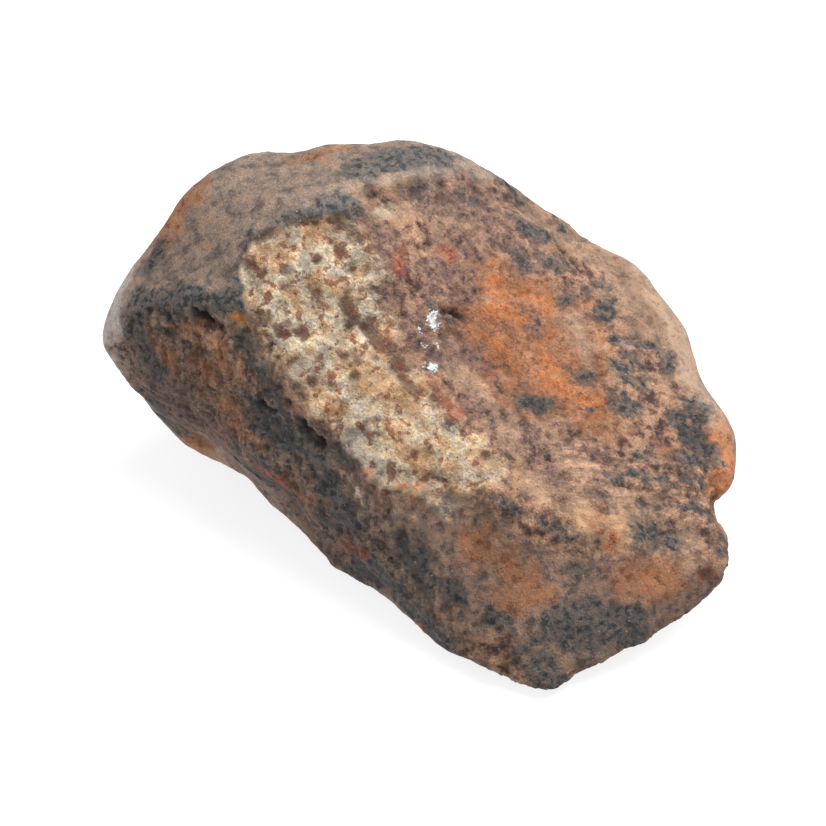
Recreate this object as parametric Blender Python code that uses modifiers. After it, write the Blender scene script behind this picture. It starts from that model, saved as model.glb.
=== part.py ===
"""A weathered stony meteorite: one solid stone about 47 mm long, lying on a small flat facet.

Its top is a broken face, slightly dished. Its left end keeps the smooth crust that melted as it
fell, and so does its back, which has shallow thumbprints. Its long front side is a steep wall
with a lower band that turns under, and its right end slopes down to a low nose.
"""

import bmesh
import bpy
from mathutils import Matrix, Vector, noise

MM = 0.001  # lengths below are in millimetres, and Blender's are in metres

# Corners of the stone as it lies. Their hull is the stone before it wears.
CORNERS = {
    "crust_cap_rim": [
        (-23.8, -12.7, 10.8),
        (-24.0, -10.6, 13.0),
        (-23.4, -8.0, 16.4),
        (-22.4, -3.8, 20.0),
        (-19.8, 0.8, 21.4),
        (-13.6, 5.0, 22.2),
        (-10.8, 7.8, 22.2),
        (-8.8, 10.2, 20.8),
    ],
    "back_rim": [
        (-6.6, 12.4, 18.4),
        (-1.2, 14.6, 14.0),
        (6.2, 15.0, 12.0),
        (10.4, 13.6, 11.0),
        (18.2, 7.8, 8.8),
        (19.0, 5.0, 8.0),
    ],
    "nose": [
        (22.0, 0.2, 5.8),
        (23.6, -1.6, 5.0),
        (23.3, -5.0, 3.2),
        (20.0, -11.6, 1.8),
        (18.2, -15.2, 0.8),
        (12.8, -15.4, 0.8),
    ],
    "crest": [
        (-20.4, -11.2, 15.6),
        (-15.0, -11.4, 18.2),
        (-11.2, -11.0, 19.2),
        (-14.2, -6.8, 21.4),
        (-11.0, -1.0, 22.8),
        (-7.4, 6.2, 22.0),
    ],
    "lower_ridge": [
        (-5.4, -12.6, 14.2),
        (2.2, -13.8, 11.6),
        (9.6, -9.8, 11.6),
        (19.0, -5.8, 9.0),
    ],
    "side_break": [
        (-21.4, -12.4, 12.0),
        (-15.4, -13.0, 11.0),
        (-9.6, -13.2, 9.6),
        (-2.2, -13.8, 5.8),
        (4.4, -14.6, 3.4),
        (6.4, -15.6, 4.4),
        (11.6, -15.9, 2.4),
    ],
    "front_foot": [
        (8.6, -15.0, 0.6),
        (-1.0, -13.2, 0.6),
        (-5.0, -12.7, 0.8),
        (-9.4, -10.4, 1.8),
        (-17.2, -10.6, 2.0),
        (-20.6, -11.6, 5.0),
        (-22.4, -12.4, 7.8),
    ],
    "back": [
        (-23.0, -4.0, 10.5),
        (-20.5, 3.5, 13.0),
        (-12.0, 10.5, 14.0),
        (-4.0, 15.2, 7.0),
        (7.0, 15.6, 5.0),
        (16.5, 11.0, 3.5),
        (20.6, 2.6, 2.6),
        (-20.5, -3.0, 3.5),
        (-15.0, 7.5, 3.5),
    ],
    "back_foot": [
        (-7.0, 10.5, 0.8),
        (4.0, 13.0, 0.8),
        (15.0, 8.5, 0.8),
    ],
    "underside": [
        (-11.0, -6.0, -0.5),
        (-3.0, -9.5, -0.5),
        (7.0, -12.0, -0.5),
        (13.5, -9.5, -0.5),
        (14.0, -1.0, -0.5),
        (6.0, 5.0, -0.5),
        (-4.0, 5.0, -0.5),
        (-11.0, 0.0, -0.5),
    ],
}

# A chip is missing from the rim of the nose: where, which way it broke out, and its size.
CHIP_AT = (21.7, 2.7, 7.0)
CHIP_RUN = (-0.4, 0.6, -0.7)
CHIP_SIDES = 7
CHIP_RADIUS = 2.0
CHIP_TAPER = 0.8
CHIP_LENGTH = 15.0

# Hollows in the surface: middle, radius and depth.
HOLLOWS = {
    "dish_of_the_break": [((3.0, 0.0, 15.0), 13.0, 1.8)],
    "under_the_lower_ridge": [((7.5, -13.5, 8.0), 7.0, 1.0)],
    "foot_of_the_wall": [((-11.0, -11.5, 2.0), 4.5, 0.9)],
    "thumbprints": [
        ((-22.5, -2.0, 14.0), 6.0, 0.9),
        ((-16.0, 7.5, 17.0), 6.5, 1.1),
        ((-7.0, 13.0, 12.5), 6.5, 1.2),
        ((3.5, 15.5, 7.5), 6.0, 1.1),
        ((13.5, 12.5, 6.0), 5.5, 1.0),
    ],
}

# Wear and weather: how far apart the waves are, and how high.
BROAD_WAVE = 11.0
BROAD_HEIGHT = 0.55
LUMP_WAVE = 4.2
LUMP_HEIGHT = 0.28
LUMP_OFFSET = (7.0, 3.0, 5.0)
ROUGHNESS_FALL = 1.0
FREQUENCY_STEP = 2.0
OCTAVES = 2

# How finely the skin is made, and how much its edges are rounded.
SKIN_STEP = 0.6
ROUNDING = 0.5
ROUNDING_PASSES = 4
TRIANGLES = 6000
FLOOR_SIDE = 80.0

STONE_BROWN = (0.15, 0.075, 0.04, 1.0)
STONE_ROUGHNESS = 0.78


def clear_scene():
    for found in list(bpy.data.objects):
        bpy.data.objects.remove(found)


def new_collection(name):
    made = bpy.data.collections.new(name)
    bpy.context.scene.collection.children.link(made)
    return made


def object_from(body, name, collection):
    """An object that holds the bmesh as its mesh."""
    mesh = bpy.data.meshes.new(name)
    body.to_mesh(mesh)
    body.free()
    made = bpy.data.objects.new(name, mesh)
    collection.objects.link(made)
    return made


def apply_modifiers(stone):
    """Turns the stone's modifiers into its mesh."""
    bpy.context.view_layer.update()
    graph = bpy.context.evaluated_depsgraph_get()
    result = bpy.data.meshes.new_from_object(stone.evaluated_get(graph))
    stone.modifiers.clear()
    stone.data = result


def cut_away(stone, cutter):
    """Takes the cutter's shape out of the stone."""
    cutter.hide_render = True
    cutter.display_type = "WIRE"
    cut = stone.modifiers.new(cutter.name, "BOOLEAN")
    cut.operation = "DIFFERENCE"
    cut.solver = "EXACT"
    cut.object = cutter
    apply_modifiers(stone)


def hull_of_corners():
    """The closed hull of all the corners."""
    body = bmesh.new()
    for group in CORNERS.values():
        for corner in group:
            body.verts.new(Vector(corner) * MM)
    hull = bmesh.ops.convex_hull(body, input=body.verts)
    inside = [item for item in hull["geom_interior"] if isinstance(item, bmesh.types.BMVert)]
    bmesh.ops.delete(body, geom=inside, context="VERTS")
    bmesh.ops.recalc_face_normals(body, faces=body.faces)
    return body


def round_edges(stone):
    """Gives the hull an even skin and rounds its edges, as tumbling and weather would."""
    remesh = stone.modifiers.new("even_skin", "REMESH")
    remesh.mode = "VOXEL"
    remesh.voxel_size = SKIN_STEP * MM
    smooth = stone.modifiers.new("rounded_edges", "SMOOTH")
    smooth.factor = ROUNDING
    smooth.iterations = ROUNDING_PASSES
    apply_modifiers(stone)


def break_out_chip(stone, cutters):
    """Takes the missing chip out of the rim of the nose."""
    body = bmesh.new()
    bmesh.ops.create_cone(
        body,
        cap_ends=True,
        segments=CHIP_SIDES,
        radius1=CHIP_RADIUS * MM,
        radius2=CHIP_RADIUS * CHIP_TAPER * MM,
        depth=CHIP_LENGTH * MM,
    )
    cutter = object_from(body, "chip_cutter", cutters)
    cutter.location = Vector(CHIP_AT) * MM
    cutter.rotation_mode = "QUATERNION"
    cutter.rotation_quaternion = Vector(CHIP_RUN).to_track_quat("Z", "Y")
    cut_away(stone, cutter)


def hollow_depth(place):
    """How deep the hollows are at this place: each one fades smoothly to nothing at its radius."""
    depth_here = 0.0
    for group in HOLLOWS.values():
        for middle, radius, depth in group:
            nearness = max(0.0, 1.0 - (place - Vector(middle)).length / radius)
            depth_here += depth * nearness * nearness * (3.0 - 2.0 * nearness)
    return depth_here


def rolling(place):
    return noise.fractal(place, ROUGHNESS_FALL, FREQUENCY_STEP, OCTAVES)


def weather(stone):
    """Raises and lowers the skin in broad waves and lumps, and presses in the hollows."""
    outward = [vertex.normal.copy() for vertex in stone.data.vertices]
    for vertex, normal in zip(stone.data.vertices, outward):
        place = vertex.co / MM
        rise = BROAD_HEIGHT * rolling(place / BROAD_WAVE)
        rise += LUMP_HEIGHT * rolling(place / LUMP_WAVE + Vector(LUMP_OFFSET))
        rise -= hollow_depth(place)
        vertex.co += normal * rise * MM


def thin_out(stone):
    """Keeps small triangles only where the surface bends."""
    stone.data.calc_loop_triangles()
    thin = stone.modifiers.new("fewer_triangles", "DECIMATE")
    thin.ratio = TRIANGLES / len(stone.data.loop_triangles)
    thin.use_collapse_triangulate = True
    apply_modifiers(stone)


def cut_resting_facet(stone, cutters):
    """Cuts the stone level at the floor, which leaves the flat facet that it lies on."""
    body = bmesh.new()
    bmesh.ops.create_cube(body, size=FLOOR_SIDE * MM)
    cutter = object_from(body, "floor_cutter", cutters)
    cutter.location.z = -FLOOR_SIDE / 2 * MM
    cut_away(stone, cutter)


def centre_over_origin(stone):
    """Puts the middle of the stone's footprint box over the origin."""
    places = [vertex.co.xy for vertex in stone.data.vertices]
    low = Vector((min(place.x for place in places), min(place.y for place in places), 0.0))
    high = Vector((max(place.x for place in places), max(place.y for place in places), 0.0))
    stone.data.transform(Matrix.Translation(-(low + high) / 2))


def paint(stone):
    finish = bpy.data.materials.new("weathered_chondrite")
    finish.use_nodes = True
    shader = finish.node_tree.nodes["Principled BSDF"]
    shader.inputs["Base Color"].default_value = STONE_BROWN
    shader.inputs["Roughness"].default_value = STONE_ROUGHNESS
    stone.data.materials.clear()
    stone.data.materials.append(finish)


def build_stone(collection, cutters):
    stone = object_from(hull_of_corners(), "meteorite_stone", collection)
    break_out_chip(stone, cutters)
    round_edges(stone)
    weather(stone)
    thin_out(stone)
    cut_resting_facet(stone, cutters)
    centre_over_origin(stone)
    paint(stone)


clear_scene()
build_stone(new_collection("meteorite"), new_collection("cutters"))
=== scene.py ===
import bpy
import numpy as np
from mathutils import Matrix, Vector, noise


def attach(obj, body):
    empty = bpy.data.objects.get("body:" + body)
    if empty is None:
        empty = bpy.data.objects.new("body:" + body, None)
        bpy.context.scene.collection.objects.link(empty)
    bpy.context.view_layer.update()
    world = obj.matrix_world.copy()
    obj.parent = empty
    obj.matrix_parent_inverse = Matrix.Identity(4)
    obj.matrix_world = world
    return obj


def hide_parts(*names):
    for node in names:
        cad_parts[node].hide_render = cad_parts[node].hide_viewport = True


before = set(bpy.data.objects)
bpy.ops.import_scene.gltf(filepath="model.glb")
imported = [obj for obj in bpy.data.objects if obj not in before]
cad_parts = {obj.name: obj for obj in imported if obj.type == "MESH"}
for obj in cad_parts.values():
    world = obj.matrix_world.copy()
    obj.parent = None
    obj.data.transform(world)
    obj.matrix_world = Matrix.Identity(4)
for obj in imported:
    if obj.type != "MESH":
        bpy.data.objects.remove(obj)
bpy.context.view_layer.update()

mm = 0.001
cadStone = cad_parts["meteorite_stone"]

# Every place below is in millimetres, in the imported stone's own frame: x along it, y to the back, z up.

stoneForm = {
    "pointSpacing": 0.228,    # between points of the fine mesh, so grains of 0.3 mm are real shape
    "facetSoftening": 14,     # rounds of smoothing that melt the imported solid's triangles together
    "crustRounding": 90,      # further rounds on the fusion crust only, which was once liquid
    "crustStep": 0.2,         # the fusion crust stands this much over the broken rock beside it
    "patchDepth": 0.16,       # the fresh chip lies this much under the weathered break
    "hiddenFrom": 0.05,       # how far a normal turns from the viewer before its side counts as unseen
}

# Seen from above: where the stone is broken, and inside that where a flake came off last.
brokenOutline = [
    (-11.3, -10.3), (-12.4, -8.7), (-13.8, -6.5), (-12.7, -4.9), (-10.1, -1.8), (-8.9, -0.6),
    (-9.3, 1.5), (-7.4, 5.2), (-6.2, 8.8), (-4.4, 11.8), (-2.0, 13.6), (2.0, 14.4), (6.5, 13.6),
    (9.8, 11.6), (13.0, 9.4), (16.5, 7.0), (19.0, 4.8), (22.0, 2.5), (24.5, -2.0), (23.5, -7.0),
    (21.0, -11.0), (17.5, -16.5), (-17.0, -16.5), (-21.5, -13.5), (-20.6, -11.9), (-18.0, -11.3),
    (-15.5, -11.1), (-13.2, -10.9),
]
patchOutline = [
    (-13.7, -6.4), (-12.6, -4.9), (-10.1, -2.0), (-8.7, -1.1), (-7.4, -1.3), (-6.3, -2.5), (-5.3, -4.1),
    (-3.4, -4.5), (-1.7, -5.5), (0.0, -5.7), (2.0, -6.9), (4.2, -7.6), (6.5, -7.3), (8.3, -7.4),
    (9.4, -8.9), (7.4, -10.2), (5.6, -11.6), (3.6, -12.9), (2.2, -13.4), (0.2, -13.2), (-1.8, -12.7),
    (-3.7, -12.4), (-5.7, -11.9), (-8.0, -11.4), (-10.2, -10.8), (-11.6, -10.1), (-12.6, -8.8),
    (-13.4, -7.6),
]

# Relief in layers: grain size, height and how much of it each kind of surface shows.
reliefLayers = [
    {"size": 3.4, "height": 0.15, "broken": 1.0, "crust": 0.8},
    {"size": 1.4, "height": 0.16, "broken": 1.0, "crust": 0.3},
    {"size": 0.45, "height": 0.13, "broken": 1.0, "crust": 0.22},
]

# Bands where the grain runs one way: the streaks beside the right end and the fibres down the front wall.
# size is the width of a fibre, height its relief, shade how far fibres go lighter and darker.
fabrics = [
    {"where": "streaky", "along": (0.67, 0.65, -0.35), "stretch": 0.86,
     "size": 0.42, "height": 0.14, "shade": 0.36},
    {"where": "pitted", "along": (0.35, -0.25, -0.90), "stretch": 0.70,
     "size": 0.50, "height": 0.17, "shade": 0.30},
]

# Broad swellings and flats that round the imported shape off: from, to, reach, height.
swellings = [
    ((-22.0, -4.5, 19.2), (-19.5, -1.5, 21.0), 2.6, 0.32),
    ((-23.0, -12.6, 10.0), (-22.4, -11.0, 12.0), 1.8, 0.30),
    ((-13.5, -13.0, 5.0), (-7.0, -13.6, 4.4), 2.6, -1.15),
    ((23.2, -0.8, 5.8), (22.6, 0.2, 6.4), 1.4, 0.55), ((21.6, 7.0, 7.0), (19.6, 8.6, 8.0), 1.6, 0.25),
    ((12.6, 11.4, 10.2), (15.0, 9.8, 9.4), 1.6, -0.30),
    ((-1.7, 12.6, 16.4), (-0.5, 12.8, 15.6), 1.6, 0.20),
    ((-1.2, -13.4, 1.8), (0.4, -13.5, 1.6), 1.2, 0.40),
    ((2.8, -14.4, 2.2), (4.0, -14.6, 2.2), 1.0, -0.35),
    ((-14.0, 4.5, 22.0), (-6.0, 9.5, 20.6), 2.0, 0.30),
    ((20.4, 4.0, 7.4), (20.6, 3.2, 7.0), 0.8, -0.50), ((4.8, 14.6, 12.8), (6.2, 14.0, 12.6), 1.5, 0.30),
]

# Hollows and knobs that are there one by one: from, to, radius, depth.
dents = [
    ((-15.3, -11.2, 17.3), (-13.8, -11.3, 17.0), 0.42, 0.60),   # slot under the crust ridge
    ((-8.4, -12.7, 13.0), (-7.2, -12.8, 12.8), 0.30, 0.40),     # short crack in the wall
    ((-4.7, -12.8, 12.9), (-2.9, -12.9, 12.4), 0.50, 0.55),     # pit in the wall
    ((-0.9, -0.9, 17.2), (0.4, 0.1, 16.4), 0.34, 0.50),         # hole beside the metal grains
    ((22.9, -2.6, 5.6), (23.0, -2.5, 5.5), 0.70, 0.30),         # pit near the right end
    ((18.7, -4.1, 9.0), (20.3, -2.1, 7.8), 0.22, 0.22),         # cracks that run with the streaks
    ((16.8, 1.1, 9.6), (18.0, 1.6, 9.3), 0.22, 0.22),
    ((14.9, -3.4, 10.8), (17.1, -1.0, 9.6), 0.20, 0.18),
    ((7.1, -10.5, 11.4), (7.2, -10.4, 11.4), 0.60, -0.25),      # knobs on the lower ridge
    ((9.4, -9.7, 11.3), (9.8, -9.6, 11.3), 0.50, -0.20),
    ((-10.3, -6.5, 20.4), (-10.2, -6.5, 20.4), 0.50, -0.12),    # a round chondrule
    ((-1.0, -2.0, 17.1), (-0.7, -2.4, 16.9), 0.35, -0.15),      # nickel-iron grains
    ((-0.1, -3.7, 16.3), (0.0, -3.4, 16.4), 0.28, -0.12),
    ((0.9, -5.0, 15.7), (1.1, -4.7, 15.8), 0.28, -0.12),
    ((2.6, -13.3, 11.6), (5.9, -11.1, 11.6), 0.50, -0.22),      # the sharp part of the lower ridge
    ((5.9, -11.1, 11.6), (9.4, -9.0, 11.8), 0.45, -0.15),
]

# The stains, painted in this order: weathering, and in places painted light and shade, as marked below.
# Each stroke runs from one place to another with a radius.
# edge is how soft its border is, ragged how far the border wanders, cover how much it hides at its
# thinnest and thickest. scatter is how many strokes it has on the unseen sides, and their least and
# greatest radius.
stains = [
    # pale grey over the left tip: partly the crust's own grey, partly painted light, the glow of the
    # bright backdrop round the tip
    {"name": "tipGreyAndGlow", "hues": ("#948A84", "#ADA39C", "#BCB2AA", "#AE9D91"),
     "clump": 0.7, "grit": 0.2, "edge": 0.8, "ragged": 0.6, "rough": 0.65,
     "cover": (0.75, 1.0), "scatter": (0, 0.8, 1.6),
     "strokes": [
        ((-22.5, -12.7, 9.6), (-22.7, -11.0, 13.6), 1.4),
        ((-22.8, -10.5, 13.8), (-22.6, -7.5, 16.8), 0.8),
     ]},
    {"name": "umber", "hues": ("#3A312E", "#5B4D47", "#736257", "#806959"),
     "clump": 0.6, "grit": 0.34, "edge": 0.7, "ragged": 0.5, "rough": 0.80,
     "cover": (0.75, 1.0), "scatter": (14, 1.5, 4.5),
     "strokes": [
        ((-18.0, -12.8, 11.0), (-8.0, -13.4, 9.0), 4.2), ((-8.0, -13.4, 9.0), (4.0, -14.2, 6.0), 3.6),
        ((-14.0, -13.4, 6.0), (0.0, -14.2, 3.0), 4.0), ((2.0, -14.3, 6.5), (8.0, -15.3, 1.0), 2.6),
     ]},
    {"name": "earth", "hues": ("#50423D", "#6B5A51", "#82695A", "#886E5A"),
     "clump": 0.7, "grit": 0.18, "edge": 0.6, "ragged": 0.7, "rough": 0.75,
     "cover": (0.7, 1.0), "scatter": (16, 1.5, 4.5),
     "strokes": [
        ((7.0, -12.6, 8.4), (14.0, -11.5, 7.0), 3.0), ((12.0, -12.8, 6.0), (20.0, -7.0, 5.5), 3.0),
        ((5.0, -13.4, 8.4), (10.0, -14.3, 4.0), 2.0), ((17.0, -12.0, 3.5), (22.5, -4.0, 4.5), 2.6),
     ]},
    {"name": "tan", "hues": ("#7D6452", "#9B7C64", "#AF8E74", "#968475"),
     "clump": 0.7, "grit": 0.26, "edge": 0.8, "ragged": 1.0, "rough": 0.72,
     "cover": (0.35, 0.95), "scatter": (8, 0.8, 2.4),
     "strokes": [
        ((1.7, 6.4, 15.9), (-0.4, 3.1, 17.3), 2.0), ((-6.5, 3.0, 21.2), (-3.5, 6.0, 19.6), 1.3),
        ((-8.4, 3.3, 22.1), (-7.6, 3.4, 21.8), 0.8), ((-9.8, 0.9, 22.7), (-8.6, 1.0, 22.3), 0.5),
        ((-1.5, 11.0, 16.8), (4.0, 13.4, 13.8), 1.4), ((6.5, 12.0, 13.2), (13.0, 10.4, 10.8), 2.2),
        ((14.5, 9.0, 9.9), (17.0, 7.4, 9.0), 1.4), ((4.5, 5.5, 14.4), (9.5, 5.2, 12.9), 1.3),
        ((10.5, -4.5, 12.3), (15.0, -4.6, 10.8), 1.3), ((11.0, -6.8, 11.2), (18.5, -3.4, 8.9), 1.2),
        ((15.4, -6.3, 10.0), (18.0, -5.5, 9.3), 1.3), ((20.2, -2.2, 7.8), (21.2, -1.4, 7.0), 0.8),
        ((2.6, -3.8, 15.0), (8.0, -5.4, 13.0), 1.0),
     ]},
    {"name": "rust", "hues": ("#6A432E", "#8A5A3E", "#A06B45", "#94613F"),
     "clump": 0.6, "grit": 0.26, "edge": 1.0, "ragged": 0.85, "rough": 0.78,
     "cover": (0.65, 1.0), "scatter": (12, 0.5, 1.8),
     "strokes": [
        ((-0.8, 3.8, 17.2), (3.0, 5.7, 15.1), 1.7), ((1.3, 0.6, 15.8), (6.3, -1.7, 13.8), 2.3),
        ((3.3, 3.4, 14.9), (9.0, 0.8, 13.0), 2.3), ((3.0, 5.7, 15.1), (4.9, 8.2, 14.2), 0.8),
        ((7.5, 6.9, 13.6), (9.4, 3.6, 13.0), 0.8), ((8.8, -0.6, 13.1), (12.0, 0.4, 12.1), 1.4),
        ((4.0, 2.8, 14.6), (8.0, 2.0, 13.4), 2.2), ((7.6, 0.0, 13.4), (12.0, 0.8, 12.2), 1.5),
        ((-0.5, 4.5, 17.0), (2.5, 5.5, 15.6), 1.6), ((18.0, 6.6, 8.8), (21.6, 3.3, 6.9), 1.7),
        ((10.8, 1.0, 12.6), (12.6, 1.3, 12.0), 0.9), ((9.7, -11.5, 8.4), (13.5, -11.3, 7.4), 1.4),
        ((12.5, -13.0, 6.0), (14.8, -11.0, 6.5), 1.0), ((19.0, -7.0, 6.6), (21.3, -4.6, 6.0), 1.3),
        ((-22.6, -8.0, 16.2), (-21.4, -3.0, 20.0), 0.7), ((-16.1, 1.5, 21.8), (-12.9, 4.6, 22.1), 0.4),
        ((-20.8, -4.0, 19.8), (-21.5, -6.6, 17.8), 1.2),
        ((-16.7, -11.3, 16.6), (-15.4, -11.6, 16.0), 0.5),
        ((-18.7, -12.3, 12.9), (-17.3, -12.4, 12.5), 0.8),
        ((-12.6, -12.1, 15.0), (-11.6, -12.3, 14.0), 0.7),
        ((-15.0, -12.2, 13.8), (-13.2, -12.5, 13.0), 0.8),
        ((-12.7, -13.0, 11.7), (-9.1, -13.3, 10.4), 0.8), ((-4.3, -13.9, 7.5), (-3.0, -14.0, 6.6), 0.5),
     ]},
    {"name": "emberRust", "hues": ("#8C4F2E", "#A66138", "#B87340", "#9C6240"),
     "clump": 0.6, "grit": 0.24, "edge": 0.7, "ragged": 1.1, "rough": 0.80,
     "cover": (0.35, 1.0), "scatter": (4, 0.2, 0.6),
     "strokes": [
        ((-0.6, 3.4, 17.1), (3.0, 5.7, 15.1), 0.8), ((1.5, 2.2, 15.9), (4.9, 4.3, 14.2), 0.7),
        ((2.6, 0.0, 15.1), (4.8, -1.6, 14.2), 0.8), ((6.6, 1.6, 13.6), (7.6, 0.2, 13.4), 0.9),
        ((8.4, 0.2, 13.2), (10.8, 1.1, 12.7), 0.8), ((19.0, 5.8, 8.2), (21.2, 3.5, 7.0), 0.8),
        ((16.0, 2.8, 10.2), (17.6, 3.8, 9.4), 0.5), ((15.8, -6.2, 9.9), (17.4, -5.7, 9.5), 0.6),
        ((20.0, -5.6, 6.7), (21.0, -4.8, 6.2), 0.1),
     ]},
    {"name": "plum", "hues": ("#44302C", "#624942", "#775B51", "#846756"),
     "clump": 0.55, "grit": 0.3, "edge": 0.6, "ragged": 0.7, "rough": 0.7,
     "cover": (0.6, 1.0), "scatter": (12, 0.6, 1.8),
     "strokes": [
        ((-10.5, -11.4, 16.4), (-7.4, -12.5, 14.3), 0.7),
        ((-7.4, -12.5, 14.3), (-1.9, -12.9, 13.0), 0.6), ((-1.9, -12.9, 13.0), (1.3, -13.5, 11.3), 0.7),
        ((-5.6, 5.0, 20.6), (-3.0, 8.4, 18.8), 1.2), ((-3.0, 8.4, 18.8), (0.2, 9.2, 17.0), 1.1),
        ((-3.8, 3.2, 19.3), (-1.6, 5.0, 18.0), 0.9), ((-3.3, 7.3, 18.9), (0.9, 7.4, 16.4), 0.9),
        ((3.2, -1.8, 14.7), (5.0, -2.3, 14.0), 0.8), ((-4.1, 10.6, 18.3), (-6.2, 8.2, 20.4), 0.8),
        ((6.3, -1.7, 13.8), (7.4, -1.9, 13.5), 0.6), ((3.9, -13.2, 10.6), (6.5, -11.5, 10.7), 0.05),
        ((22.7, -2.9, 5.7), (22.9, -2.6, 5.6), 0.8), ((-6.6, -0.4, 20.8), (-4.2, -3.4, 19.0), 1.3),
        ((-1.6, -3.6, 17.4), (0.6, -4.2, 16.1), 1.1), ((-2.6, 0.8, 18.6), (-1.2, 1.6, 17.8), 1.5),
        ((1.0, -2.6, 15.7), (1.8, -1.6, 15.5), 1.1), ((-0.8, 7.4, 17.6), (0.6, 7.0, 16.8), 0.8),
        ((4.8, -5.5, 13.9), (6.8, -3.9, 13.4), 0.9), ((9.0, -5.0, 12.6), (11.5, -6.0, 11.8), 1.1),
        ((3.2, 4.2, 15.0), (4.6, 3.0, 14.4), 0.6), ((-17.0, -13.2, 10.0), (-10.6, -13.8, 6.9), 1.5),
        ((-10.6, -13.8, 6.9), (-2.0, -14.0, 2.0), 1.3), ((20.6, -8.4, 2.6), (23.5, -1.7, 5.1), 0.9),
        ((13.0, -2.0, 11.6), (16.0, -5.0, 10.4), 0.8),
     ]},
    {"name": "red", "hues": ("#5E2E22", "#86452E", "#9C5B3D", "#864A34"),
     "clump": 0.5, "grit": 0.24, "edge": 0.35, "ragged": 0.5, "rough": 0.7,
     "cover": (0.55, 1.0), "scatter": (3, 0.2, 0.4),
     "strokes": [
        ((-5.0, -0.2, 20.2), (-4.1, -1.6, 19.6), 0.45), ((-3.6, 2.3, 19.2), (-2.9, 2.5, 18.9), 0.35),
        ((1.7, -6.1, 15.3), (4.1, -6.5, 14.2), 0.45), ((-3.2, -5.0, 17.9), (-2.7, -5.3, 17.6), 0.50),
        ((8.4, -0.4, 13.2), (8.9, -0.1, 13.1), 0.45), ((2.7, -13.2, 11.5), (3.7, -12.6, 11.7), 0.28),
        ((-7.7, -14.0, 7.3), (-6.1, -14.0, 7.4), 0.7), ((0.0, -14.0, 4.4), (1.4, -14.3, 4.8), 0.7),
        ((22.8, -2.8, 5.6), (23.0, -2.4, 5.5), 0.45),
     ]},
    {"name": "slate", "hues": ("#202123", "#343536", "#4A4947", "#3F3A37"),
     "clump": 0.5, "grit": 0.26, "edge": 0.45, "ragged": 0.5, "rough": 0.55,
     "cover": (0.65, 1.0), "scatter": (60, 0.2, 0.9),
     "strokes": [
        ((-11.0, 3.0, 22.6), (-7.9, 8.6, 21.0), 1.3), ((-4.8, 12.1, 18.1), (-3.0, 12.2, 17.3), 0.65),
        ((-7.0, 4.5, 21.5), (-6.6, 5.8, 21.2), 0.45), ((-5.0, 7.5, 20.0), (-4.4, 7.8, 19.7), 0.60),
        ((-1.9, 9.7, 17.9), (-1.6, 9.8, 17.7), 0.50), ((-0.3, 9.6, 17.0), (0.0, 10.2, 16.8), 0.80),
        ((0.0, 12.3, 15.7), (0.5, 12.7, 15.3), 0.55), ((2.0, 8.7, 16.0), (2.3, 9.5, 15.8), 0.70),
        ((0.9, 7.1, 16.4), (-0.5, 7.0, 16.9), 0.45), ((4.1, 7.3, 14.7), (4.6, 8.5, 14.4), 0.70),
        ((5.2, 10.2, 14.1), (5.5, 10.3, 14.0), 0.55), ((6.4, 9.5, 13.8), (6.9, 8.6, 13.6), 0.70),
        ((8.5, 7.5, 13.2), (9.7, 7.8, 12.9), 0.55), ((10.7, 9.5, 12.1), (10.9, 9.3, 12.1), 0.60),
        ((11.9, 9.3, 11.6), (12.6, 8.3, 11.4), 0.80), ((8.6, 2.7, 13.3), (8.9, 2.9, 13.2), 0.80),
        ((10.2, 6.9, 12.7), (11.0, 6.7, 12.5), 0.60), ((10.2, 5.2, 12.5), (12.2, 5.8, 11.9), 0.60),
        ((12.2, 2.8, 12.0), (12.5, 3.1, 11.9), 0.90), ((15.6, 5.2, 10.0), (18.3, 4.9, 8.9), 1.0),
        ((15.5, 7.5, 10.2), (16.8, 5.9, 9.7), 0.75), ((14.0, -3.4, 11.2), (19.3, 2.1, 8.6), 0.40),
        ((15.1, 0.6, 10.5), (18.6, 3.9, 8.8), 0.60), ((17.4, -2.4, 9.3), (21.0, 1.2, 7.3), 0.45),
        # the first stroke on the next line is painted shade in and round the hole beside the nickel-iron
        # grains
        ((-1.3, -1.4, 17.3), (0.2, -0.5, 16.6), 0.40), ((0.4, -4.0, 16.0), (1.0, -4.3, 15.8), 0.20),
        ((7.0, -2.5, 13.6), (8.6, -1.2, 13.2), 0.60), ((11.0, 0.5, 12.6), (11.3, 0.8, 12.5), 0.55),
        ((6.8, -10.5, 11.4), (7.4, -10.3, 11.4), 0.50), ((9.4, -9.7, 11.3), (10.9, -9.3, 11.1), 0.30),
        ((4.8, -12.2, 11.1), (8.6, -10.2, 11.0), 0.05), ((12.8, -8.5, 10.0), (15.0, -7.9, 9.5), 0.50),
        ((16.7, -7.0, 8.9), (16.9, -6.8, 8.9), 0.45), ((18.3, -4.7, 9.0), (20.2, -3.2, 8.0), 1.1),
        ((16.1, -8.8, 7.4), (16.3, -8.6, 7.4), 0.40), ((16.4, -12.1, 4.4), (20.3, -8.3, 3.9), 1.6),
        ((4.6, -13.9, 7.8), (6.2, -14.3, 6.0), 0.7), ((16.7, -11.7, 4.4), (17.7, -9.9, 5.4), 1.0),
        ((5.6, -13.8, 6.8), (7.4, -14.4, 5.5), 1.0), ((8.9, -14.2, 5.7), (9.4, -14.1, 5.5), 0.80),
        ((12.2, -14.1, 5.1), (12.9, -14.0, 4.6), 0.90), ((16.0, -14.0, 2.4), (17.6, -14.2, 1.6), 1.30),
        ((22.4, 0.2, 6.0), (22.7, -0.4, 5.9), 0.70), ((-20.6, -11.4, 15.0), (-18.2, -10.9, 16.5), 1.25),
        ((-18.2, -10.9, 16.5), (-16.0, -10.8, 17.8), 1.35),
        ((-16.0, -10.8, 17.8), (-11.9, -10.2, 18.8), 1.0),
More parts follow.
